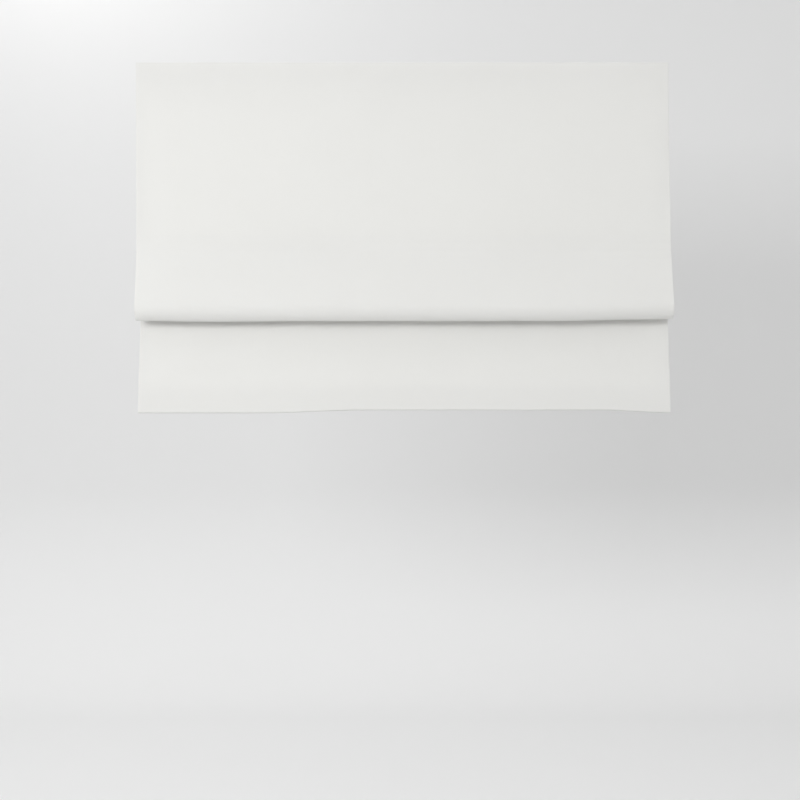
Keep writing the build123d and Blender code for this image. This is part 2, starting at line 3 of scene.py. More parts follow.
import bpy
import numpy as np
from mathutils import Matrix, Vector


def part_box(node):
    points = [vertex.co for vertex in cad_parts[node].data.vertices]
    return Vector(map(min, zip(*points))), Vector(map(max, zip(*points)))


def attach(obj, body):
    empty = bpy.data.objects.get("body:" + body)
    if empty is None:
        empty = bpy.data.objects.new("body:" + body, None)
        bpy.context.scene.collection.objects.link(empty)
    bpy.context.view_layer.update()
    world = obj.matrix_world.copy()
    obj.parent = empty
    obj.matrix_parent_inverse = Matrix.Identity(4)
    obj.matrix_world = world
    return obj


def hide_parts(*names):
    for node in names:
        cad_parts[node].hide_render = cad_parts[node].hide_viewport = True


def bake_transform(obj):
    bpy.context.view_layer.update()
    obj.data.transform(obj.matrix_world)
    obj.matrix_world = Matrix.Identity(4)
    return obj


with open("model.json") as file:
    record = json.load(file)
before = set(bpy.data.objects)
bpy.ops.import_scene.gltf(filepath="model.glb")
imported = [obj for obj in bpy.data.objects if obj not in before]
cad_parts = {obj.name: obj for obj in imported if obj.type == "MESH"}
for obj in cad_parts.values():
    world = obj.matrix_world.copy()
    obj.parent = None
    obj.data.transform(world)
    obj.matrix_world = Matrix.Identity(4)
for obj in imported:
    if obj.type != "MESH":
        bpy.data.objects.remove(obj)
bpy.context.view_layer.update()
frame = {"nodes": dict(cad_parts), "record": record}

# Roman blind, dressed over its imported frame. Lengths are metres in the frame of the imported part:
# +Z is up, +X runs along the headrail and the cloth's face looks to -Y.

bl_info = {
    "name": "Roman Blind",
    "version": (1, 0, 0),
    "blender": (4, 5, 0),
    "location": "3D View > Sidebar > Blind",
    "description": "Cloth, cords, sewing and finishes of a roman blind on its packed frame",
    "category": "Object",
}

STATIONS = ("left", "centre", "right")
STRIPS = {
    "cloth_panel": "loop_tape",
    "cloth_front_fold_back": "rod_pocket_middle",
    "cloth_rear_fold_front": "rod_pocket_middle",
    "cloth_rear_fold_back": "rod_pocket_bottom",
    "cloth_skirt": "rod_pocket_bottom",
}
ROWS = ("top", "middle", "bottom")
RODS = {row: f"{row}_rod" for row in ROWS}
FULL_TURN = 2 * np.pi
ALONG_RAIL = np.array((1.0, 0.0, 0.0))

# Lengths that more than one piece needs: the cloth's rise over a rod, the hang of the front fold where the
# cloth's motion starts, the rear fold's rise over it and the wall of a rod's sleeve
CREST_RISE = 0.0055
MOVED_FOLD_HANG = 0.142
FOLD_STAGGER = 0.014
POCKET_WALL = 0.0007

CORD_SIDES = 12
COIL_SIDES = 8


# Measures read from the frame

def middle_of(node):
    """Middle of a node's box at rest, as an array."""
    low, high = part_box(node)
    return np.array((low + high) / 2)


cloth_low, cloth_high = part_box("cloth")
rail_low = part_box("headrail")[0]
bar_low, bar_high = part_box("bottom_bar")
tape_low, tape_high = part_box("loop_tape")
rod_low, rod_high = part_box("rod_top")
rod_radius = (rod_high.z - rod_low.z) / 2
rods = {row: middle_of(f"rod_{row}") for row in ROWS}
pockets = {row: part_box(f"rod_pocket_{row}") for row in ROWS}
cords = {station: middle_of(f"lift_cord_{station}") for station in STATIONS}
cord_low, cord_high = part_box("lift_cord_centre")
cord_radius = (cord_high.x - cord_low.x) / 2
cloth_width = cloth_high.x - cloth_low.x


# Settings that a user would change

def length_setting(name, description, default):
    """Property for a length in metres."""
    return bpy.props.FloatProperty(
        name=name, description=description, default=default, unit="LENGTH", precision=5
    )


def colour_setting(name, description, default):
    """Property for a colour."""
    return bpy.props.FloatVectorProperty(
        name=name, description=description, default=default, subtype="COLOR", min=0, max=1
    )


class BlindClothSettings(bpy.types.PropertyGroup):
    """Cut, folds and finish of the cloth."""

    thickness: length_setting("Thickness", "Thickness of the cloth", 0.0008)
    seat_gap: length_setting("Seat Gap", "Gap between the cloth and what is sewn on it", 0.0001)
    side_hem: length_setting("Side Hem", "Width of the turned side hems", 0.020)
    side_hem_thickness: length_setting("Side Hem Thickness", "Extra thickness of the side hems", 0.0006)
    front_fold_hang: length_setting("Front Fold", "Hang of the front fold below the top rod", 0.1438)
    fold_stagger: length_setting("Fold Stagger", "Rise of the rear fold over the front one", FOLD_STAGGER)
    brow_radius: length_setting("Brow", "Radius of the front fold above its lower edge", 0.022)
    nose_radius: length_setting("Nose", "Radius of the front fold's lower edge", 0.004)
    tuck_angle: bpy.props.FloatProperty(
        name="Tuck",
        description="How far the brow turns under before the lower edge",
        default=np.radians(65.0),
        subtype="ANGLE",
    )
    fold_rise: length_setting("Fold Rise", "Lift of the front fold, most of it at the right end", 0.0036)
    hem_droop: length_setting("Hem Droop", "Drop of the hem on its left and at its right corner", 0.0050)
    sway: length_setting("Sway", "How far the cloth drifts to the right on its way down", 0.0036)
    skirt_pinch: length_setting("Skirt Pinch", "How far the skirt's sides draw in behind the fold", 0.0030)
    ripple: length_setting("Ripple", "Height of the soft waves in the hanging cloth", 0.0009)
    edge_curl: length_setting("Edge Curl", "How far the side edges turn back", 0.0005)
    thread_pitch: length_setting("Thread Pitch", "Spacing of the threads", 0.00055)
    light_through: bpy.props.FloatProperty(
        name="Light Through",
        description="Share of the light that spreads inside the cloth",
        default=0.5,
        min=0,
        max=1,
    )
    colour: colour_setting("Colour", "Colour of the cloth", (0.800, 0.798, 0.780))


class BlindSewingSettings(bpy.types.PropertyGroup):
    """Stitches and tapes."""

    stitch_length: length_setting("Stitch Length", "Length of one stitch", 0.0030)
    stitch_gap: length_setting("Stitch Gap", "Gap between two stitches", 0.0010)
    thread_diameter: length_setting("Thread", "Diameter of the sewing thread", 0.00045)
    colour: colour_setting("Colour", "Colour of tapes and thread", (0.80, 0.80, 0.785))


class BlindHardwareSettings(bpy.types.PropertyGroup):
    """Finishes of the rail, the mechanism and the cords."""

    paint: colour_setting("Paint", "Powder coat of the rail", (0.79, 0.79, 0.78))
    plastic: colour_setting("Plastic", "Moulded mechanism", (0.66, 0.66, 0.63))
    steel: colour_setting("Steel", "Shaft and pin", (0.60, 0.61, 0.62))
    spring: colour_setting("Spring", "Spring band", (0.42, 0.45, 0.50))
    rod: colour_setting("Rod", "Glass-fibre rods", (0.76, 0.76, 0.70))
    cord: colour_setting("Cord", "Braided cord", (0.80, 0.80, 0.78))
    winding_turns: bpy.props.IntProperty(
        name="Turns", description="Turns of cord on each spool at rest", default=13, min=1
    )


class BlindStageSettings(bpy.types.PropertyGroup):
    """Camera, floor and wall."""

    camera_distance: length_setting("Camera Distance", "From the lens to the cloth", 2.8)
    view_width: length_setting("View Width", "Width of the picture at the cloth", 1.3525)
    camera_x: length_setting("Camera X", "Camera's place along the rail", -0.0035)
    camera_z: length_setting("Camera Z", "Camera's height", -0.572)
    floor_z: length_setting("Floor", "Height of the floor", -1.30)
    floor_reach: length_setting("Floor Reach", "How far the floor runs out from the blind", 20.0)
    wall_y: length_setting("Wall", "Place of the wall behind the blind", 1.50)
    wall_height: length_setting("Wall Height", "Height of the wall over the floor", 5.0)
    wall_colour: colour_setting("Wall Colour", "Colour of floor and wall", (0.65, 0.65, 0.65))


# Shapes worked out on grids

def smooth_step(value):
    """0 below 0, 1 above 1 and the cubic 3t^2 - 2t^3 between them."""
    t = np.clip(value, 0, 1)
    return t * t * (3 - 2 * t)


def ramp(value, start, span):
    """Smooth step that leaves 0 at start and reaches 1 a span later."""
    return smooth_step((value - start) / span)


def descent(z, top_z, low_z):
    """Smooth step that leaves 0 at the upper height and reaches 1 at the lower one."""
    return smooth_step((top_z - z) / (top_z - low_z))


def bent_line(corners, step, arc_step):
    """Line through (y, z, radius) corners: straight runs joined by tangent arcs.

    An arc starts radius * tan(turn / 2) before its corner, and its points are its centre plus the
    start spoke turned through even angles. Gives points and their lengths along the line.
    """
    fewest_arc_points = 4
    closest = step / 100
    places = np.array([corner[:2] for corner in corners])
    stretches = [places[:1]]
    for before, (y, z, radius), after in zip(places, corners[1:-1], places[2:]):
        corner = np.array((y, z))
        come = (corner - before) / np.linalg.norm(corner - before)
        leave = (after - corner) / np.linalg.norm(after - corner)
        turn = np.arctan2(come[0] * leave[1] - come[1] * leave[0], come @ leave)
        inward = np.array((-come[1], come[0])) * np.sign(turn)
        centre = corner - come * radius * np.tan(abs(turn) / 2) + inward * radius
        angles = np.linspace(0, turn, max(fewest_arc_points, int(np.ceil(abs(turn) / arc_step))))
        spoke = -inward * radius
        turned_y = spoke[0] * np.cos(angles) - spoke[1] * np.sin(angles)
        turned_z = spoke[0] * np.sin(angles) + spoke[1] * np.cos(angles)
        stretches.append(centre + np.stack((turned_y, turned_z), axis=1))
    stretches.append(places[-1:])
    points = np.concatenate(stretches)
    lengths = lengths_along(points)
    stations = np.union1d(lengths, np.arange(0, lengths[-1], step))
    stations = stations[np.concatenate(([True], np.diff(stations) > closest))]
    return sample(stations, lengths, points), stations


def turning_points(line):
    """Places in a line where it turns from falling to climbing or back: fold bottoms and crests."""
    level = 1e-7
    climbs = np.diff(line[:, 1]) > level
    return np.flatnonzero(np.diff(climbs.astype(int))) + 1


def face_normals(line, stations):
    """Unit normals of a (y, z) line on its face side: the tangent (ty, tz) turned to (tz, -ty)."""
    tangent = unit(np.gradient(line, stations, axis=0))
    return np.stack((tangent[:, 1], -tangent[:, 0]), axis=1)


def loop_faces(rows, columns, first=0):
    """Quads of a grid whose rows close on themselves, as in a tube or the two faces of a sheet."""
    row = np.arange(rows)[:, None]
    column = np.arange(columns - 1)[None, :]
    here = first + row * columns + column
    there = first + (row + 1) % rows * columns + column
    return np.stack((here, here + 1, there + 1, there), axis=-1).reshape(-1, 4)


def new_piece(name, points, faces, material, uv=None, caps=None, sharp_degrees=50.0):
    """Mesh object at the origin from points, quads and end caps, smooth but for its sharp edges."""
    polygons = [faces] if caps is None else [faces, caps]
    mesh = bpy.data.meshes.new(name)
    mesh.from_pydata(points.reshape(-1, 3).tolist(), [], sum((part.tolist() for part in polygons), []))
    mesh.polygons.foreach_set("use_smooth", np.ones(len(mesh.polygons), bool))
    if uv is not None:
        corners = np.concatenate([part.ravel() for part in polygons])
        layer = mesh.uv_layers.new(name="Surface")
        layer.data.foreach_set("uv", uv.reshape(-1, 2)[corners].astype(np.float32).ravel())
    mesh.set_sharp_from_angle(angle=np.radians(sharp_degrees))
    mesh.materials.append(material)
    piece = bpy.data.objects.new(name, mesh)
    bpy.context.scene.collection.objects.link(piece)
    return piece


def sheet_piece(name, middle, normals, face, back, uv, material):
    """Closed thin sheet from its middle surface.

    middle is a grid of points, normals its grid of unit normals, and face and back are grids of how
    far the two sides lie from it. The rows run over the face and return over the back, so the two
    ends close by themselves, and the side walls join each row to its partner.
    """
    rows, columns = middle.shape[:2]
    face_side = middle + normals * face[..., None]
    back_side = middle - normals * back[..., None]
    points = np.concatenate((face_side, back_side[::-1]))
    around = loop_faces(2 * rows, columns)[:, ::-1]
    row = np.arange(rows - 1)
    partner = 2 * rows - 1 - row
    wall = np.stack((row, row + 1, partner - 1, partner), axis=-1) * columns
    faces = np.concatenate((around, wall + columns - 1, wall[:, ::-1]))
    return new_piece(name, points, faces, material, np.concatenate((uv, uv[::-1])))


def unit(vectors):
    """Vectors of length 1."""
    return vectors / np.linalg.norm(vectors, axis=-1)[..., None]


def lengths_along(path):
    """Distance of each point of a path from its start."""
    return np.concatenate(([0], np.cumsum(np.linalg.norm(np.diff(path, axis=0), axis=1))))


def sample(places, lengths, values):
    """Values read at places along a path, between those of its points at their lengths."""
    return np.stack([np.interp(places, lengths, column) for column in values.T], axis=1)


def tube_piece(name, path, radius, sides, reference, material):
    """Round tube along a path, closed at both ends: path + radius * (a cos u + b sin u).

    a is the part of the reference direction that is square to the path and b completes the pair. Its
    map runs round the tube and along it, in metres.
    """
    tangent = unit(np.gradient(path, axis=0))
    a = unit(reference - tangent * np.sum(reference * tangent, axis=1)[:, None])
    b = np.cross(tangent, a)
    angle = np.linspace(0, FULL_TURN, sides, endpoint=False)[:, None, None]
    grid = path + radius * (a * np.cos(angle) + b * np.sin(angle))
    uv = np.stack(np.broadcast_arrays(radius * angle[..., 0], lengths_along(path)[None, :]), axis=-1)
    start = np.arange(sides) * len(path)
    caps = np.stack((start[::-1], start + len(path) - 1))
    faces = loop_faces(sides, len(path))[:, ::-1]
    return new_piece(name, grid, faces, material, uv, caps, sharp_degrees=80.0)


# Shader node groups

class NodeSheet:
    """Adds nodes to one tree and links them, left to right."""

    SPACING = 180

    def __init__(self, tree):
        self.tree = tree
        self.column = 0

    def add(self, kind, inputs=None, **settings):
        """One node with its settings, and its inputs as links or plain values."""
        node = self.tree.nodes.new(kind)
        node.location = (self.column, 0)
        self.column += self.SPACING
        for key, value in settings.items():
            setattr(node, key, value)
        for key, value in (inputs or {}).items():
            if isinstance(value, bpy.types.NodeSocket):
                self.tree.links.new(value, node.inputs[key])
            else:
                node.inputs[key].default_value = value
        return node

    def math(self, operation, first, second=0.0):
        """One Math node's result."""
        return self.add("ShaderNodeMath", {0: first, 1: second}, operation=operation).outputs[0]


def new_group(name, inputs, outputs):
    """Empty shader group with named float, vector and colour sockets, and its two end nodes."""
    group = bpy.data.node_groups.new(name, "ShaderNodeTree")
    for socket, (kind, value) in inputs.items():
        made = group.interface.new_socket(socket, in_out="INPUT", socket_type=f"NodeSocket{kind}")
        if value is not None:
            made.default_value = value
    for socket, kind in outputs.items():
        group.interface.new_socket(socket, in_out="OUTPUT", socket_type=f"NodeSocket{kind}")
    sheet = NodeSheet(group)
    return sheet, sheet.add("NodeGroupInput").outputs


def close_group(sheet, results):
    """Links a group's results to its output node."""
    sheet.add("NodeGroupOutput", results)
    return sheet.tree


def weave_group():
    """Plain weave: each thread is |sin| across itself and rises and dips along itself in turn."""
    sheet, given = new_group(
        "Plain weave",
        {"Vector": ("Vector", None), "Pitch": ("Float", 0.0005)},
        {"Height": "Float", "Slub": "Float"},
    )
    place = sheet.add("ShaderNodeSeparateXYZ", {"Vector": given["Vector"]}).outputs
    across = sheet.math("DIVIDE", place["X"], given["Pitch"])
    along = sheet.math("DIVIDE", place["Y"], given["Pitch"])

    def thread(width_axis, length_axis, shift):
        """Height of one set of threads."""
        round_top = sheet.math("ABSOLUTE", sheet.math("SINE", sheet.math("MULTIPLY", width_axis, np.pi)))
        turn = sheet.math("ADD", length_axis, sheet.math("ADD", sheet.math("FLOOR", width_axis), shift))
        rise = sheet.math("COSINE", sheet.math("MULTIPLY", turn, np.pi))
        return sheet.math("MULTIPLY", round_top, sheet.math("MULTIPLY_ADD", rise, 0.5))

    height = sheet.math("MAXIMUM", thread(across, along, 0.0), thread(along, across, 1.0))
    slub_scale = (14.0, 420.0, 1.0)
    stretch = sheet.add("ShaderNodeVectorMath", {0: given["Vector"], 1: slub_scale}, operation="MULTIPLY")
    slub = sheet.add("ShaderNodeTexNoise", {"Vector": stretch.outputs[0], "Scale": 1.0, "Detail": 3.0})
    return close_group(sheet, {"Height": height, "Slub": slub.outputs["Fac"]})


def mottle_group():
    """Soft change of one colour over the surface, from slow noise."""
    sheet, given = new_group(
        "Soft mottle",
        {
            "Vector": ("Vector", None),
            "Scale": ("Float", 6.0),
            "Colour": ("Color", None),
            "Amount": ("Float", 0.04),
        },
        {"Colour": "Color", "Noise": "Float"},
    )
    noise = sheet.add(
        "ShaderNodeTexNoise",
        {"Vector": given["Vector"], "Scale": given["Scale"], "Detail": 4.0, "Roughness": 0.55},
    ).outputs["Fac"]
    shade = sheet.math("MULTIPLY", sheet.math("SUBTRACT", noise, 0.5), given["Amount"])
    level = sheet.math("ADD", shade, 1.0)
    tinted = sheet.add("ShaderNodeVectorMath", {0: given["Colour"], 1: level}, operation="MULTIPLY")
    return close_group(sheet, {"Colour": tinted.outputs[0], "Noise": noise})


def skin_group():
    """Fine uneven skin of a moulded or coated surface: two noises of different size."""
    sheet, given = new_group(
        "Coated skin",
        {"Vector": ("Vector", None), "Grain": ("Float", 900.0), "Roughness": ("Float", 0.45)},
        {"Height": "Float", "Roughness": "Float"},
    )
    place = given["Vector"]
    roughness_spread = 0.12
    fine = sheet.add("ShaderNodeTexNoise", {"Vector": place, "Scale": given["Grain"], "Detail": 2.0})
    broad = sheet.add("ShaderNodeTexNoise", {"Vector": place, "Scale": 35.0, "Detail": 3.0})
    spread = sheet.math("MULTIPLY", sheet.math("SUBTRACT", broad.outputs["Fac"], 0.5), roughness_spread)
    rough = sheet.math("ADD", given["Roughness"], spread)
    return close_group(sheet, {"Height": fine.outputs["Fac"], "Roughness": rough})


def braid_group():
    """Braid of a cord: two sets of slanting strands, the product of two crossed waves."""
    sheet, given = new_group(
        "Braid",
        {"Vector": ("Vector", None), "Pitch": ("Float", 0.0009)},
        {"Height": "Float"},
    )
    place = sheet.add("ShaderNodeSeparateXYZ", {"Vector": given["Vector"]}).outputs
    around = sheet.math("DIVIDE", place["X"], given["Pitch"])
    along = sheet.math("DIVIDE", place["Y"], given["Pitch"])
    right = sheet.math("SINE", sheet.math("MULTIPLY", sheet.math("ADD", around, along), np.pi))
    left = sheet.math("SINE", sheet.math("MULTIPLY", sheet.math("SUBTRACT", around, along), np.pi))
    return close_group(sheet, {"Height": sheet.math("ABSOLUTE", sheet.math("MULTIPLY", right, left))})


def group_of(maker, name):
    """The named group, built on its first use."""
    return bpy.data.node_groups.get(name) or maker()


# Materials

class Finish:
    """One material: its node sheet, its surface shader and the shared groups placed in it."""

    def __init__(self, name, **plain):
        self.material = bpy.data.materials.new(name)
        self.material.use_nodes = True
        tree = self.material.node_tree
        tree.nodes.clear()
        self.sheet = NodeSheet(tree)
        values = {key.replace("_", " "): value for key, value in plain.items()}
        self.shader = self.sheet.add("ShaderNodeBsdfPrincipled", values)
        self.output = self.sheet.add("ShaderNodeOutputMaterial", {"Surface": self.shader.outputs[0]})
        self.coordinates = self.sheet.add("ShaderNodeTexCoord").outputs

    def group(self, tree, inputs):
        """Places a shared group and gives its outputs."""
        return self.sheet.add("ShaderNodeGroup", inputs, node_tree=tree).outputs

    def feed(self, socket, value):
        """Links a result to the surface shader."""
        self.sheet.tree.links.new(value, self.shader.inputs[socket])

    def bump(self, height, strength, distance):
        """Bump from a height, fed to the shader's normal."""
        values = {"Height": height, "Strength": strength, "Distance": distance}
        self.feed("Normal", self.sheet.add("ShaderNodeBump", values).outputs["Normal"])


def mottled(finish, vector, colour, scale, amount):
    """Feeds a softly changing colour."""
    outputs = finish.group(
        group_of(mottle_group, "Soft mottle"),
        {"Vector": vector, "Scale": scale, "Colour": (*colour, 1.0), "Amount": amount},
    )
    finish.feed("Base Color", outputs["Colour"])
    return outputs["Noise"]


def woven_finish(name, colour, pitch, depth, amount=0.035, **plain):
    """Woven cloth or tape on a surface map in metres."""
    finish = Finish(
        name, Roughness=0.9, Sheen_Weight=0.12, Sheen_Roughness=0.5, Specular_IOR_Level=0.25, **plain
    )
    surface = finish.coordinates["UV"]
    mottled(finish, surface, colour, scale=5.0, amount=amount)
    weave = finish.group(group_of(weave_group, "Plain weave"), {"Vector": surface, "Pitch": pitch})
    sheet = finish.sheet
    slub_share = 0.5
    height = sheet.math("ADD", weave["Height"], sheet.math("MULTIPLY", weave["Slub"], slub_share))
    finish.bump(height, strength=0.35, distance=depth)
    return finish.material


def coated_finish(name, colour, roughness, grain, depth, **plain):
    """Moulded plastic or powder coat, on the object's own coordinates."""
    finish = Finish(name, **plain)
    place = finish.coordinates["Object"]
    mottled(finish, place, colour, scale=9.0, amount=0.05)
    skin = finish.group(
        group_of(skin_group, "Coated skin"), {"Vector": place, "Grain": grain, "Roughness": roughness}
    )
    finish.feed("Roughness", skin["Roughness"])
    finish.bump(skin["Height"], strength=0.3, distance=depth)
    return finish.material


def drawn_finish(name, colour, roughness, metallic, depth):
    """Metal or glass-fibre drawn along the rail: fine streaks in that direction."""
    finish = Finish(name, Metallic=metallic)
    sheet = finish.sheet
    streak_scale = (3.0, 2600.0, 2600.0)
    spread = 0.2
    place = finish.coordinates["Object"]
    streaks = sheet.add("ShaderNodeMapping", {"Vector": place, "Scale": streak_scale})
    noise = mottled(finish, streaks.outputs[0], colour, scale=1.0, amount=0.22)
    varied = sheet.math("ADD", sheet.math("MULTIPLY", noise, spread), roughness - spread / 2)
    finish.feed("Roughness", varied)
    finish.bump(noise, strength=0.25, distance=depth)
    return finish.material


def braided_finish(name, colour, pitch):
    """Braided cord or twisted thread on its own map in metres."""
    finish = Finish(name, Roughness=0.75, Sheen_Weight=0.1)
    surface = finish.coordinates["UV"]
    mottled(finish, surface, colour, scale=40.0, amount=0.08)
    braid = finish.group(group_of(braid_group, "Braid"), {"Vector": surface, "Pitch": pitch})
    finish.bump(braid["Height"], strength=0.6, distance=0.0001)
    return finish.material


def hooked_finish(name, colour):
    """Hook side of a touch fastener: close rows of small stiff hooks."""
    finish = Finish(name, Roughness=0.5)
    place = finish.coordinates["Object"]
    mottled(finish, place, colour, scale=300.0, amount=0.12)
    hooks = {"Vector": place, "Scale": 900.0, "Randomness": 0.35}
    cells = finish.sheet.add("ShaderNodeTexVoronoi", hooks)
    finish.bump(cells.outputs["Distance"], strength=0.8, distance=0.0006)
    return finish.material


# Cloth

def crest_corners(row, settings):
    """Tight turn of the cloth over a rod, up in front of it and down again on its cloth line."""
    width = 0.0026
    radius = 0.0012
    foot_drop = 0.008
    foot_radius = 0.060
    back_y = pockets[row][0].y - settings.seat_gap - settings.thickness / 2
    top_z = rods[row][2] + CREST_RISE
    low_z = rods[row][2] - foot_drop
    return [
        (back_y - width, low_z, foot_radius),
        (back_y - width, top_z, radius),
        (back_y, top_z, radius),
        (back_y, low_z, foot_radius),
    ]


def front_fold_corners(start, front_y, bottom_z, settings):
    """Front fold below a start point: a large brow that leans out and tucks under, and a tight nose.

    The brow is the circle of radius R whose front is at front_y, and the first line is its tangent from
    the start. It is left at the tuck angle, and the nose of radius r turns the cloth up at bottom_z.
    """
    brow, nose, tuck = settings.brow_radius, settings.nose_radius, settings.tuck_angle
    centre = np.array((front_y + brow, bottom_z + nose + (brow - nose) * np.sin(tuck)))
    way = centre - start
    distance = np.linalg.norm(way)
    lean = np.arcsin(brow / distance) - np.arctan2(way[0], -way[1])
    reach = np.sqrt(distance**2 - brow**2) + brow * np.tan((lean + tuck) / 2)
    shoulder = start - reach * np.array((np.sin(lean), np.cos(lean)))
    leave = centre - brow * np.array((np.cos(tuck), np.sin(tuck)))
    tip = leave + nose / np.tan(tuck / 2) * np.array((np.sin(tuck), -np.cos(tuck)))
    return [(*shoulder, brow), (*tip, nose)]


def rear_fold_corners(front_y, bottom_z):
    """Soft round bottom of the fold behind the front one."""
    width, flat = 0.013, 0.002
    radius = (width - flat) / 2
    return [(front_y, bottom_z, radius), (front_y + width, bottom_z, radius)]


def skirt_corners(start_y, start_z, settings):
    """Skirt below a start point, and the pocket at its end that turns up round the bar to its seam."""
    bar_fit = 0.0003
    round_relief = 0.0001
    slope_rise = 0.004
    seam_rise = 0.006
    seam_bend = 0.003
    seam_allowance = 0.008
    skirt_end_rise = 0.016
    skirt_bend = 0.120
    half = settings.thickness / 2
    hem_y = bar_low.y - bar_fit - half
    hem_back_y = bar_high.y + bar_fit + half
    hem_z = bar_low.z - bar_fit - half
    hem_radius = (hem_back_y - hem_y) / 2 - round_relief
    slope_z = bar_high.z + slope_rise
    seam_z = slope_z + seam_rise
    seam_y = hem_y + settings.thickness + settings.seat_gap
    return [
        (start_y, start_z, skirt_bend),
        (hem_y, seam_z + skirt_end_rise, skirt_bend),
        (hem_y, hem_z, hem_radius),
        (hem_back_y, hem_z, hem_radius),
        (hem_back_y, slope_z, seam_bend),
        (seam_y, seam_z, seam_bend),
        (seam_y, seam_z + seam_allowance, 0.0),
    ]


def cloth_corners(settings):
    """Middle line of the cloth as (y, z, radius) corners.

    It hangs from the tape, leans out to the top rod, drops into the front fold, climbs over the
    middle rod, drops into the rear fold, climbs over the bottom rod and hangs as the skirt, which
    turns up round the bar into its pocket.
    """
    rail_clear = 0.020
    rod_clear = 0.018
    panel_bend = 0.300
    under_rod_bend = 0.150
    rear_fold_reach = 0.0055
    skirt_set_back = 0.0085
    half = settings.thickness / 2
    top_y = tape_low.y - half
    rod_y = {row: pockets[row][0].y - settings.seat_gap - half for row in ROWS}
    fold_z = rods["top"][2] - settings.front_fold_hang + half
    under_rod = np.array((rod_y["top"], rods["top"][2] - rod_clear))
    panel = [
        (top_y, cloth_high.z, 0.0),
        (top_y, rail_low.z - rail_clear, panel_bend),
        (rod_y["top"], rods["top"][2] + rod_clear, panel_bend),
        (*under_rod, under_rod_bend),
    ]
    front_fold = front_fold_corners(under_rod, cloth_low.y + half, fold_z, settings)
    rear_fold = rear_fold_corners(rod_y["middle"] - rear_fold_reach, fold_z + settings.fold_stagger)
    crests = [crest_corners(row, settings) for row in ("middle", "bottom")]
    skirt = skirt_corners(rod_y["bottom"] + skirt_set_back, fold_z, settings)
    return panel + front_fold + crests[0] + rear_fold + crests[1] + skirt


def cloth_columns(settings):
    """Places across the cloth: even in the middle, close together over the hems and the rounded edges."""
    middle_columns = 105
    middle_margin = 0.004
    half = cloth_width / 2
    from_edge = np.array((0, 0.0001, 0.00025, 0.00045, 0.0007, 0.002, 0.007, 0.013, 0.018))
    hem_edge = settings.side_hem + np.array((-0.0006, -0.0003, 0.0, 0.0003))
    side = half - np.concatenate((from_edge, hem_edge))
    inner = half - settings.side_hem - middle_margin
    return np.concatenate((-side, np.linspace(-inner, inner, middle_columns), side[::-1]))


def ripple_waves(x, s):
    """Sum of four slow slanting sine waves over the cloth's own map.

    Each has its length across, its length along, its phase and its share of the height.
    """
    waves = (
        (0.52, 0.60, 0.4, 0.45),
        (0.31, -0.45, 2.1, 0.30),
        (0.19, 0.38, 4.0, 0.16),
        (0.125, -0.27, 5.2, 0.09),
    )
    return sum(
        share * np.sin(FULL_TURN * (x / across + s / along) + phase) for across, along, phase, share in waves
    )


def ripple_height(x, stations, settings, held_lines):
    """How far the cloth stands out of its bent line: the ripple less the curl of the side edges.

    Both fade out at the lines where the cloth is held, at its top and at its hem.
    """
    held_margin, held_fade = 0.012, 0.07
    top_margin, top_fade = 0.05, 0.08
    hem_margin, hem_fade = 0.125, 0.06
    curl_start_share, curl_share = 0.90, 0.10
    s = stations[:, None]
    near = np.min([np.abs(s - held) for held in held_lines], axis=0)
    free = ramp(near, held_margin, held_fade) * ramp(s, top_margin, top_fade)
    free = free * (1 - ramp(s, stations[-1] - hem_margin, hem_fade))
    edge = ramp(np.abs(x) / (cloth_width / 2), curl_start_share, curl_share)
    return settings.ripple * free * ripple_waves(x, s) - settings.edge_curl * edge * free


def hang_cloth(line, stations, settings, held_lines):
    """Middle surface of the cloth over (length, width), with its normals.

    Each point is the bent line moved along its normal by the ripple. The front fold is lifted towards its
    right end, the hem droops on its left and at its right corner, the skirt narrows a little behind the
    fold and the whole cloth sways a little to the right on its way down.
    """
    lift_drop = 0.02
    lift_base, lift_gain = 0.3, 0.8
    lift_start, lift_span = 0.10, 0.36
    sag_base, right_sag = 0.2, 0.9
    left_sag_start, left_sag_span = 0.06, 0.19
    right_sag_start, right_sag_span = 0.33, 0.12
    pinch_start, pinch_span = 0.2, 0.25

    x = cloth_columns(settings)[None, :]
    s = stations[:, None]
    z = line[:, 1][:, None]
    normals = face_normals(line, stations)
    outward = ripple_height(x, stations, settings, held_lines)
    fold_z = rods["top"][2] - settings.front_fold_hang
    before_crest = s < held_lines[1]
    in_skirt = s > held_lines[2]

    lifted = (lift_base + lift_gain * ramp(x, lift_start, lift_span)) * before_crest
    lift = settings.fold_rise * lifted * descent(z, rods["top"][2] - lift_drop, fold_z)
    low = np.clip((fold_z - z) / (fold_z - cloth_low.z), 0, 1) * in_skirt
    left_sag = ramp(-x, left_sag_start, left_sag_span)
    sag = sag_base + left_sag + right_sag * ramp(x, right_sag_start, right_sag_span)
    droop = settings.hem_droop * sag * smooth_step(low)
    sway = settings.sway * descent(z, cloth_high.z, fold_z)
    behind_fold = descent(z, rods["bottom"][2], fold_z) * (1 - low) * in_skirt
    pinch = settings.skirt_pinch * np.sign(x) * ramp(np.abs(x), pinch_start, pinch_span) * behind_fold
    middle = np.stack(
        np.broadcast_arrays(
            x + sway - pinch,
            line[:, 0][:, None] + normals[:, 0][:, None] * outward,
            z + normals[:, 1][:, None] * outward + lift - droop,
        ),
        axis=-1,
    )
    across = np.zeros((len(stations), 1))
    flat_normals = np.stack((across, normals[:, :1], normals[:, 1:]), axis=-1)
    return middle, np.broadcast_to(flat_normals, middle.shape)


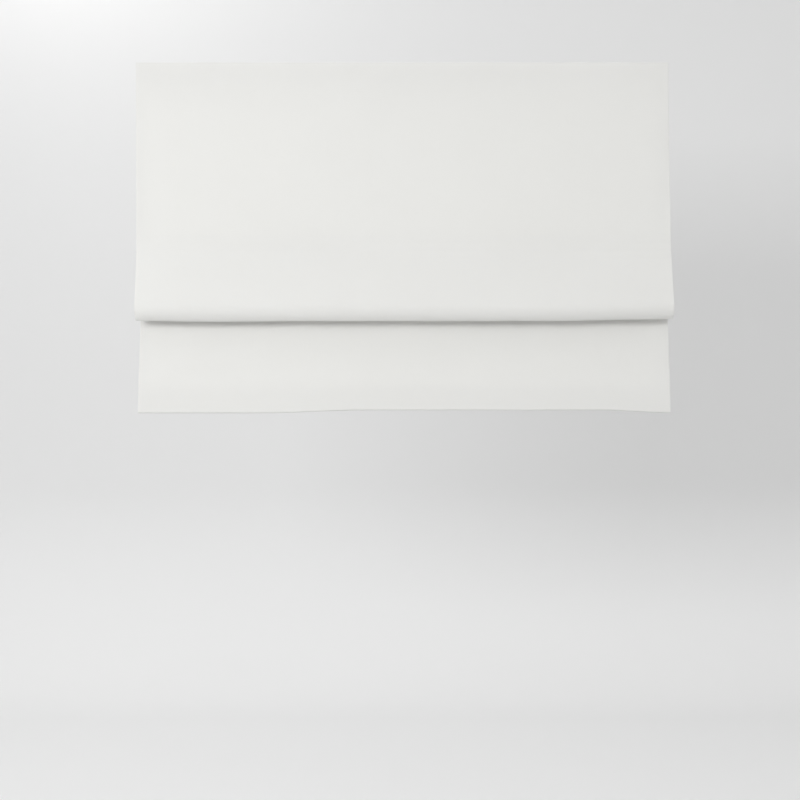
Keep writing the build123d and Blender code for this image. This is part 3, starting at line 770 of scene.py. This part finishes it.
def cloth_sides(settings, stations, cuts):
    """How far face and back lie from the middle: half the cloth, more over the hems, round at the edges.

    The hems lie on the side that is behind when the cloth is let down, so they change sides at the cuts
    between the strips and thin out there.
    """
    edge_radius = 0.0007
    thinnest = 0.03
    hem_step = 0.0003
    pocket_reach, pocket_fade = 0.085, 0.01
    cut_fade = 0.012
    x = np.abs(cloth_columns(settings))[None, :]
    s = stations[:, None]
    half = settings.thickness / 2
    inside = np.clip((x - (cloth_width / 2 - edge_radius)) / edge_radius, 0, 1)
    rounding = np.sqrt(np.maximum(1 - inside**2, thinnest))
    over_hem = ramp(x, cloth_width / 2 - settings.side_hem, hem_step)
    up_to_pocket = 1 - ramp(s, stations[-1] - pocket_reach, pocket_fade)
    near_cut = np.min([np.abs(s - stations[cut]) for cut in cuts], axis=0)
    extra = settings.side_hem_thickness * over_hem * up_to_pocket * smooth_step(near_cut / cut_fade)
    turned = turned_rows(stations, cuts)[:, None]
    return (half + extra * turned) * rounding, (half + extra * ~turned) * rounding


def turned_rows(stations, cuts):
    """True where the cloth runs up again behind a fold."""
    return np.searchsorted(stations[list(cuts)], stations) % 2 == 1


class HungCloth:
    """The cloth as it hangs: its middle surface, normals, the distances of its two sides and its map."""

    def __init__(self, settings):
        line, self.stations = bent_line(cloth_corners(settings), step=0.006, arc_step=np.radians(7.0))
        cuts = turning_points(line)[: len(STRIPS) - 1]
        panel = slice(cuts[0])
        rod_place = np.interp(-rods["top"][2], -line[panel, 1], self.stations[panel])
        held = (rod_place, self.stations[cuts[1]], self.stations[cuts[3]])
        self.x = cloth_columns(settings)
        self.middle, self.normals = hang_cloth(line, self.stations, settings, held)
        self.face, self.back = cloth_sides(settings, self.stations, cuts)
        self.turned = turned_rows(self.stations, cuts)
        self.uv = np.stack(np.broadcast_arrays(self.x[None, :], self.stations[:, None]), axis=-1)
        self.marks = (0, *cuts, len(self.stations) - 1)

    def rows(self, strip):
        """The rows of one strip, which shares its first and last with its neighbours."""
        place = list(STRIPS).index(strip)
        return slice(self.marks[place], self.marks[place + 1] + 1)

    def length(self, strip):
        """Length of one strip along the cloth."""
        stations = self.stations[self.rows(strip)]
        return float(stations[-1] - stations[0])


def hem_stitches(strip, cloth, settings, sewing, material):
    """Stitches behind a strip: along both side hems, and along the hem pocket's seam on the skirt."""
    pocket_reach = 0.09
    hem_share = 0.9
    seam_inset = 0.004
    rows = cloth.rows(strip)
    sewn = cloth.stations[rows] < cloth.stations[-1] - pocket_reach
    line_x = cloth_width / 2 - hem_share * settings.side_hem
    columns = [np.argmin(np.abs(cloth.x - side * line_x)) for side in (-1, 1)]
    turned = cloth.turned[:, None, None]
    outward = np.where(turned, cloth.normals, -cloth.normals)
    depth = np.where(turned, cloth.face[..., None], cloth.back[..., None])
    back = (cloth.middle + outward * depth)[rows][sewn]
    outward = outward[rows][sewn]
    paths = [back[:, column] for column in columns]
    normals = [outward[:, column] for column in columns]
    pieces = [stitch_row(f"{strip}_stitches", paths, normals, sewing, material)]
    if strip == "cloth_skirt":
        seam = np.searchsorted(cloth.stations, cloth.stations[-1] - seam_inset)
        edge_columns = 2
        inside = slice(edge_columns, -edge_columns)
        over = (cloth.middle + cloth.normals * cloth.face[..., None])[seam, inside]
        pieces.append(stitch_row("hem_stitches", [over], [cloth.normals[seam, inside]], sewing, material))
    return pieces


def move_strip(piece, strip):
    """Ties a strip of cloth, or what is sewn on it, to the rod that moves it; a strip that runs between two
    moving bodies only has its transform baked and is tied to neither.
    """
    fold_z = rods["top"][2] - MOVED_FOLD_HANG
    rear_fold_z = fold_z + FOLD_STAGGER
    crest_z = {row: rods[row][2] + CREST_RISE for row in ROWS}
    ways = {
        "cloth_panel": ("headrail_frame", RODS["top"], cloth_high.z, rods["top"][2]),
        "cloth_front_fold_back": (RODS["top"], RODS["middle"], fold_z, crest_z["middle"]),
        "cloth_rear_fold_back": (RODS["middle"], RODS["bottom"], rear_fold_z, crest_z["bottom"]),
    }
    if strip in ways:
        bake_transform(piece)
    else:
        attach(piece, RODS["middle"] if strip == "cloth_rear_fold_front" else RODS["bottom"])


class BLIND_OT_cloth(bpy.types.Operator):
    """Hang the cloth in five strips that meet at the folds and over the rods, and stitch its hems"""

    bl_idname = "blind.cloth"
    bl_label = "Cloth"

    def execute(self, context):
        settings, sewing = context.scene.blind_cloth, context.scene.blind_sewing
        cloth = HungCloth(settings)
        material = woven_finish(
            "Dim-out cloth",
            settings.colour,
            settings.thread_pitch,
            depth=0.00012,
            Subsurface_Weight=settings.light_through,
            Subsurface_Radius=(1.0, 1.0, 1.0),
            Subsurface_Scale=settings.thickness,
        )
        thread = braided_finish("Hem thread", settings.colour, pitch=0.0006)
        for name, holder in STRIPS.items():
            rows = cloth.rows(name)
            grids = (cloth.middle, cloth.normals, cloth.face, cloth.back, cloth.uv)
            strip = sheet_piece(name, *(grid[rows] for grid in grids), material)
            stitches = hem_stitches(name, cloth, settings, sewing, thread)
            for piece in (strip, *stitches):
                move_strip(piece, name)
            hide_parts("cloth")
            cloth.length(name)
        return {"FINISHED"}


# Sewing

def stitch_row(name, paths, normals, settings, material):
    """Rows of stitches that lie on a surface along paths of the same number of points.

    A stitch is a rounded thread of the settings' length whose middle stands out of the surface and
    whose ends dip into it: centre + t L/2 along the path, plus the arch and a ring round that line.
    """
    pitch = settings.stitch_length + settings.stitch_gap
    radius = settings.thread_diameter / 2
    centres, tangents, outwards = [], [], []
    for path, normal in zip(paths, normals):
        lengths = lengths_along(path)
        places = np.arange(pitch, lengths[-1] - pitch / 2, pitch)
        centres.append(sample(places, lengths, path))
        tangents.append(sample(places, lengths, np.gradient(path, lengths, axis=0)))
        outwards.append(sample(places, lengths, normal))
    centre = np.concatenate(centres)[:, None, None, :]
    tangent = unit(np.concatenate(tangents))
    outward = unit(np.concatenate(outwards))
    side = np.cross(tangent, outward)[:, None, None, :]
    tangent, outward = tangent[:, None, None, :], outward[:, None, None, :]
    share = np.array((-1, -0.65, 0, 0.65, 1))[None, None, :, None]
    ring = radius * np.array((0.3, 0.85, 1, 0.85, 0.3))[None, None, :, None]
    arch_rise, arch_bend = 0.5, 0.9
    arch = radius * (arch_rise - arch_bend * share**2)
    sides = 6
    angle = np.linspace(0, FULL_TURN, sides, endpoint=False)[None, :, None, None]
    points = (
        centre
        + tangent * share * settings.stitch_length / 2
        + outward * (arch + ring * np.cos(angle))
        + side * ring * np.sin(angle)
    )
    count, columns = len(points), share.size
    first = np.arange(count)[:, None, None] * sides * columns
    faces = (first + loop_faces(sides, columns)[:, ::-1]).reshape(-1, 4)
    start = np.arange(sides) * columns
    caps = (first + np.stack((start[::-1], start + columns - 1))).reshape(-1, sides)
    along = share * settings.stitch_length / 2
    uv = np.stack(np.broadcast_arrays(radius * angle, along, points[..., :1])[:2], axis=-1)
    return new_piece(name, points, faces, material, uv, caps, sharp_degrees=80.0)


def pocket_outline():
    """Outline of a rod's sleeve round the rod, as (y, z, radius) corners, up its front and down its back."""
    wing_corner = 0.00025
    root_corner = 0.0005
    loop_corner = 0.0010
    root_share = 0.86
    round_share = 0.99
    slit = 0.0001
    low, high = pockets["top"]
    front, loop = low.y - rods["top"][1], high.y - rods["top"][1]
    wing = (high.z - low.z) / 2
    inner = front + POCKET_WALL
    shoulder = front + 2 * POCKET_WALL
    return [
        (front, 0.0, 0.0),
        (front, wing, wing_corner),
        (inner, wing, wing_corner),
        (inner, loop * root_share, root_corner),
        (shoulder, loop, loop_corner),
        (loop, loop, loop * round_share),
        (loop, -loop, loop * round_share),
        (shoulder, -loop, loop_corner),
        (inner, -loop * root_share, root_corner),
        (inner, -wing, wing_corner),
        (front, -wing, wing_corner),
        (front, -slit, 0.0),
    ]


def pocket_piece(row, material):
    """Sleeve sewn from tape round a rod: its outline carried along X, drawn in a little between stitches.

    The grid closes both ways: each outline point runs along the outside and back along the bore.
    """
    outer_columns = 400
    bore_gap = 0.0003
    pucker_share, pucker_length = 0.03, 0.0125
    drift, drift_length = 3, 0.07
    outline, stations = bent_line(pocket_outline(), step=0.001, arc_step=np.radians(14.0))
    low, high = pockets[row]
    x = np.linspace(low.x, high.x, outer_columns)
    bulge = np.clip(outline[:, 0] / outline[:, 0].max(), 0, 1)[:, None]
    wave = np.sin(FULL_TURN * x / pucker_length + drift * np.sin(x / drift_length))
    pucker = 1 - pucker_share * bulge * (0.5 + 0.5 * wave)
    bore = unit(outline) * (rod_radius + bore_gap)
    outer = outline[:, None, :] * pucker[..., None]
    section = np.concatenate((outer, np.stack((bore, bore), axis=1)), axis=1) + rods[row][1:]
    along = np.concatenate((x, x[[-1, 0]]))
    grid = np.stack(np.broadcast_arrays(along[None, :], section[..., 0], section[..., 1]), axis=-1)
    rows, columns = grid.shape[:2]
    faces = loop_faces(rows, columns + 1)
    turns, places = np.divmod(faces, columns + 1)
    faces = turns % rows * columns + places % columns
    uv = np.stack(np.broadcast_arrays(along[None, :], stations[:, None]), axis=-1)
    piece = new_piece(f"pocket_{row}", grid, faces, material, uv, sharp_degrees=60.0)
    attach(piece, RODS[row])
    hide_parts(f"rod_pocket_{row}")


def pocket_stitches(row, settings, material):
    """Two rows of stitches, along the upper and the lower wing of a rod's sleeve."""
    low, high = pockets[row]
    x = np.array((low.x, high.x))
    inset = 0.00055
    heights = (high.z - inset, low.z + inset)
    paths = [np.stack(np.broadcast_arrays(x, low.y + POCKET_WALL, z), axis=1) for z in heights]
    outward = np.tile((0.0, 1.0, 0.0), (2, 1))
    piece = stitch_row(f"pocket_stitches_{row}", paths, [outward, outward], settings, material)
    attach(piece, RODS[row])


def loop_tape_piece(material):
    """Loop side of the touch fastener: a flat strip with rounded long edges and an uneven pile."""
    flat_rows, columns = 9, 240
    edge_drops = np.array((0, 0.0002, 0.0006))
    margin = 0.0014
    edge_radius = 0.0012
    thin_share = 0.35
    pile_share, pile_wave = 0.94, 0.05
    pile_length, drift_length = 0.0021, 0.013
    half = (tape_high.y - tape_low.y) / 2
    height = tape_high.z - tape_low.z
    flat_drops = np.linspace(margin, height - margin, flat_rows)
    drop = np.concatenate((edge_drops, flat_drops, height - edge_drops[::-1]))
    x = np.linspace(tape_low.x, tape_high.x, columns)
    middle_y = (tape_low.y + tape_high.y) / 2
    middle = np.stack(np.broadcast_arrays(x[None, :], middle_y, tape_high.z - drop[:, None]), axis=-1)
    normals = np.broadcast_to((0.0, -1.0, 0.0), middle.shape)
    edge = np.clip(np.minimum(drop, height - drop) / edge_radius, 0, 1)
    round_edge = thin_share + (1 - thin_share) * np.sqrt(1 - (1 - edge) ** 2)
    face = np.broadcast_to(half * round_edge[:, None], middle.shape[:2])
    pile = pile_share + pile_wave * np.sin(x / pile_length + 2 * np.sin(x / drift_length))[None, :]
    uv = np.stack(np.broadcast_arrays(x[None, :], drop[:, None]), axis=-1)
    piece = sheet_piece("loop_tape_strip", middle, normals, face, face * pile, uv, material)
    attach(piece, "headrail_frame")
    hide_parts("loop_tape")


class BLIND_OT_sewing(bpy.types.Operator):
    """Sew the rod sleeves, their stitches and the loop tape"""

    bl_idname = "blind.sewing"
    bl_label = "Sewing"

    def execute(self, context):
        settings = context.scene.blind_sewing
        tape = woven_finish("Rod tape", settings.colour, pitch=0.0009, depth=0.00025)
        pile = woven_finish("Loop pile", settings.colour, pitch=0.0006, depth=0.0004, amount=0.12)
        thread = braided_finish("Sewing thread", settings.colour, pitch=0.0006)
        for row in ROWS:
            pocket_piece(row, tape)
            pocket_stitches(row, settings, thread)
        loop_tape_piece(pile)
        return {"FINISHED"}


# Cords

def cord_run(name, x, y, top_z, low_z, material):
    """Straight taut stretch of cord."""
    ring_spacing, fewest_rings = 0.01, 3
    rings = max(fewest_rings, int((top_z - low_z) / ring_spacing) + 1)
    path = np.stack(np.broadcast_arrays(x, y, np.linspace(top_z, low_z, rings)), axis=1)
    piece = tube_piece(name, path, cord_radius, CORD_SIDES, ALONG_RAIL, material)
    return piece


def lift_cord(station, material):
    """One lift cord in three stretches, each between two bodies that slide past each other."""
    x, y, _ = cords[station]
    ends = (cord_high.z, rods["top"][2], rods["middle"][2], cord_low.z)
    for place, row in enumerate(ROWS):
        top_z, low_z = ends[place], ends[place + 1]
        piece = cord_run(f"cord_{station}_{row}", x, y, top_z, low_z, material)
        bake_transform(piece)
        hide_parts(f"lift_cord_{station}")


def cord_winding(station, turns, material):
    """Turns of cord on a spool: a helix round the shaft that ends where the cord leaves the drum."""
    turn_points = 26
    low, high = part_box(f"cord_winding_{station}")
    axis = middle_of("lift_shaft")
    radius = (high.z - low.z) / 2 - cord_radius
    angle = np.linspace(-FULL_TURN * turns, 0, turn_points * turns)
    start_x = low.x + cord_radius
    x = start_x + (cords[station][0] - start_x) * (1 + angle / (FULL_TURN * turns))
    path = np.stack((x, axis[1] - radius * np.cos(angle), axis[2] - radius * np.sin(angle)), axis=1)
    piece = tube_piece(f"winding_{station}", path, cord_radius, COIL_SIDES, ALONG_RAIL, material)
    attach(piece, "shaft")
    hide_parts(f"cord_winding_{station}")


def cord_knot(station, material):
    """Knot under an anchor: a trefoil with a short tail.

    Its line is (sin t + 2 sin 2t, cos t - 2 cos 2t, -1.6 sin 3t) times a third of the knot's inner height.
    """
    knot_points = 90
    rise = 1.6
    slant = np.array((0.3, 0.4, 0.87))
    tail_x, tail_y, tail_length = 0.0004, 0.0003, 0.004
    low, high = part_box("cord_knots")
    x, y, _ = cords[station]
    middle_z = (low.z + high.z) / 2
    size = ((high.z - low.z) / 2 - cord_radius) / 3
    t = np.linspace(0, FULL_TURN, knot_points)
    across = np.sin(t) + 2 * np.sin(2 * t)
    deep = np.cos(t) - 2 * np.cos(2 * t)
    loop = np.stack((across, deep, -rise * np.sin(3 * t)), axis=1)
    path = loop * size + np.array((x, y, middle_z))
    knot = tube_piece(f"knot_{station}", path, cord_radius, COIL_SIDES, slant, material)
    tail_name = f"knot_tail_{station}"
    tail = cord_run(tail_name, x + tail_x, y + tail_y, middle_z, low.z - tail_length, material)
    for piece in (knot, tail):
        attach(piece, RODS["bottom"])
        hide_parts("cord_knots")


class BLIND_OT_cords(bpy.types.Operator):
    """Run the lift cords from their spools through the rings to the knots"""

    bl_idname = "blind.cords"
    bl_label = "Cords"

    def execute(self, context):
        settings = context.scene.blind_hardware
        braid = braided_finish("Braided cord", settings.cord, pitch=0.0008)
        for station in STATIONS:
            lift_cord(station, braid)
            cord_winding(station, settings.winding_turns, braid)
            cord_knot(station, braid)
        return {"FINISHED"}


# Hardware

class BLIND_OT_finishes(bpy.types.Operator):
    """Give every rigid part the finish of its material slot"""

    bl_idname = "blind.finishes"
    bl_label = "Finishes"

    def execute(self, context):
        settings = context.scene.blind_hardware
        # A coat has a name, colour, roughness, grain and depth; a drawn surface has metal in grain's place
        coats = {
            "rail": ("Powder coat", settings.paint, 0.42, 1400.0, 0.00006),
            "bracket_steel": ("Painted steel", settings.paint, 0.35, 700.0, 0.00004),
            "white_plastic": ("White plastic", settings.paint, 0.50, 2200.0, 0.00004),
            "mechanism_plastic": ("Natural plastic", settings.plastic, 0.46, 1800.0, 0.00004),
        }
        drawn = {
            "steel": ("Drawn steel", settings.steel, 0.34, 1.0, 0.00003),
            "spring_steel": ("Spring steel", settings.spring, 0.28, 1.0, 0.00002),
            "rod": ("Fibre rod", settings.rod, 0.45, 0.0, 0.00005),
        }
        milky = ("Milky plastic", settings.paint, 0.24, 500.0, 0.00002)
        finishes = {slot: coated_finish(*values) for slot, values in coats.items()}
        finishes |= {slot: drawn_finish(*values) for slot, values in drawn.items()}
        finishes["ring_plastic"] = coated_finish(*milky, Coat_Weight=0.15)
        finishes["hook_tape"] = hooked_finish("Hook tape", settings.paint)
        slots = {part["node"]: part["material_slot"] for part in frame["record"]["subparts"]}
        for name, node in frame["nodes"].items():
            if slots[name] in finishes:
                node.data.materials.clear()
                node.data.materials.append(finishes[slots[name]])
        return {"FINISHED"}


# Stage

class BLIND_OT_stage(bpy.types.Operator):
    """Set up the camera, the lamps and a pale floor that sweeps up into a wall"""

    bl_idname = "blind.stage"
    bl_label = "Stage"

    def execute(self, context):
        settings = context.scene.blind_stage
        place_camera(context.scene, settings)
        place_lamps(context.scene)
        light_world(context.scene)
        sweep_backdrop(settings)
        context.scene.view_settings.view_transform = "Standard"
        return {"FINISHED"}


def place_camera(scene, settings):
    """Camera square to the cloth, with the lens that shows view_width at the cloth."""
    lens = bpy.data.cameras.new("camera")
    lens.sensor_width = 36.0
    lens.lens = lens.sensor_width * settings.camera_distance / settings.view_width
    camera = bpy.data.objects.new("camera", lens)
    camera.location = (settings.camera_x, tape_low.y - settings.camera_distance, settings.camera_z)
    camera.rotation_euler = (np.pi / 2, 0, 0)
    scene.collection.objects.link(camera)
    scene.camera = camera


def place_lamps(scene):
    """Large soft lamps: a key from the upper left in front, a weak fill from the right and one behind.

    Each has a place, a width, a height and a power, and faces the middle of the cloth.
    """
    lamps = {
        "key": ((-1.45, -2.80, 0.12), 1.6, 0.7, 45.0),
        "fill": ((1.90, -2.40, 0.10), 1.6, 1.6, 8.0),
        "back": ((-0.95, 1.25, 1.10), 0.7, 0.7, 14.0),
    }
    aim = Vector((0, cloth_low.y, (cloth_low.z + cloth_high.z) / 2))
    for name, (place, width, height, power) in lamps.items():
        light = bpy.data.lights.new(name, "AREA")
        light.shape = "RECTANGLE"
        light.size, light.size_y = width, height
        light.energy = power
        lamp = bpy.data.objects.new(name, light)
        lamp.location = place
        lamp.rotation_euler = (aim - Vector(place)).to_track_quat("-Z", "Y").to_euler()
        scene.collection.objects.link(lamp)


def background_rays(sheet):
    """1 on the rays that show the background: from the camera, mirrored or through something clear."""
    path = sheet.add("ShaderNodeLightPath").outputs
    bounced = sheet.math("MAXIMUM", path["Is Glossy Ray"], path["Is Transmission Ray"])
    return sheet.math("MAXIMUM", path["Is Camera Ray"], bounced)


def light_world(scene):
    """Pale surroundings, evenly pale where they show; their light grows with the height of the direction."""
    world = bpy.data.worlds.new("surroundings")
    world.use_nodes = True
    sheet = NodeSheet(world.node_tree)
    background = world.node_tree.nodes["Background"]
    background.inputs["Color"].default_value = (0.995, 1.0, 0.995, 1.0)
    direction = sheet.add("ShaderNodeTexCoord").outputs["Generated"]
    height = sheet.add("ShaderNodeSeparateXYZ", {"Vector": direction}).outputs["Z"]
    strength = sheet.add(
        "ShaderNodeMapRange",
        {"Value": height, "From Min": -1.0, "From Max": 1.0, "To Min": 0.02, "To Max": 0.76},
    ).outputs["Result"]
    even_strength = 0.68
    seen = background_rays(sheet)
    shown = sheet.add("ShaderNodeMix", {"Factor": seen, "A": strength, "B": even_strength})
    world.node_tree.links.new(shown.outputs["Result"], background.inputs["Strength"])
    scene.world = world


def sweep_backdrop(settings):
    """Floor and wall as one sweep: a flat floor, a quarter round and a straight wall, carried along X."""
    radius = 0.5
    bend_points = 24
    angle = np.linspace(0, np.pi / 2, bend_points)
    bend_y = settings.wall_y - radius + radius * np.sin(angle)
    bend_z = settings.floor_z + radius - radius * np.cos(angle)
    profile_y = np.concatenate(([-settings.floor_reach], bend_y, [settings.wall_y]))
    profile_z = np.concatenate(([settings.floor_z], bend_z, [settings.floor_z + settings.wall_height]))
    x = np.array((-settings.floor_reach, settings.floor_reach))
    points = np.stack(np.broadcast_arrays(x[None, :], profile_y[:, None], profile_z[:, None]), axis=-1)
    row = np.arange(len(profile_y) - 1)[:, None] * 2
    faces = row + np.array((0, 1, 3, 2))
    return new_piece("backdrop", points, faces, backdrop_finish(settings.wall_colour))


def backdrop_finish(colour):
    """Plain pale paint, a little brighter where it shows and seen through from behind."""
    glow = 0.22
    finish = Finish(
        "Backdrop paint", Roughness=0.95, Specular_IOR_Level=0.1, Emission_Color=(1.0, 1.0, 1.0, 1.0)
    )
    mottled(finish, finish.coordinates["Object"], colour, scale=1.5, amount=0.02)
    sheet = finish.sheet
    finish.feed("Emission Strength", sheet.math("MULTIPLY", background_rays(sheet), glow))
    clear = sheet.add("ShaderNodeBsdfTransparent").outputs[0]
    behind = sheet.add("ShaderNodeNewGeometry").outputs["Backfacing"]
    mixed = sheet.add("ShaderNodeMixShader", {0: behind, 1: finish.shader.outputs[0], 2: clear})
    sheet.tree.links.new(mixed.outputs[0], finish.output.inputs["Surface"])
    return finish.material


class BLIND_PT_panel(bpy.types.Panel):
    """Lists the pieces of the blind and their settings"""

    bl_label = "Roman Blind"
    bl_space_type = "VIEW_3D"
    bl_region_type = "UI"
    bl_category = "Blind"

    def draw(self, context):
        for operator in OPERATORS:
            self.layout.operator(operator.bl_idname)
        for name in SETTINGS:
            group = getattr(context.scene, name)
            box = self.layout.box()
            for key in group.__annotations__:
                box.prop(group, key)


SETTINGS = {
    "blind_cloth": BlindClothSettings,
    "blind_sewing": BlindSewingSettings,
    "blind_hardware": BlindHardwareSettings,
    "blind_stage": BlindStageSettings,
}
OPERATORS = (BLIND_OT_cloth, BLIND_OT_sewing, BLIND_OT_cords, BLIND_OT_finishes, BLIND_OT_stage)


def register():
    """Adds the classes and hangs the settings on the scene."""
    for made in (*SETTINGS.values(), *OPERATORS, BLIND_PT_panel):
        bpy.utils.register_class(made)
    for name, made in SETTINGS.items():
        setattr(bpy.types.Scene, name, bpy.props.PointerProperty(type=made))


def unregister():
    """Takes the settings and the classes away again."""
    for name in SETTINGS:
        delattr(bpy.types.Scene, name)
    for made in reversed((*SETTINGS.values(), *OPERATORS, BLIND_PT_panel)):
        bpy.utils.unregister_class(made)


def main():
    """Registers the add-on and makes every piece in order."""
    register()
    for operator in OPERATORS:
        group, name = operator.bl_idname.split(".")
        getattr(getattr(bpy.ops, group), name)()


if __name__ == "__main__":
    main()
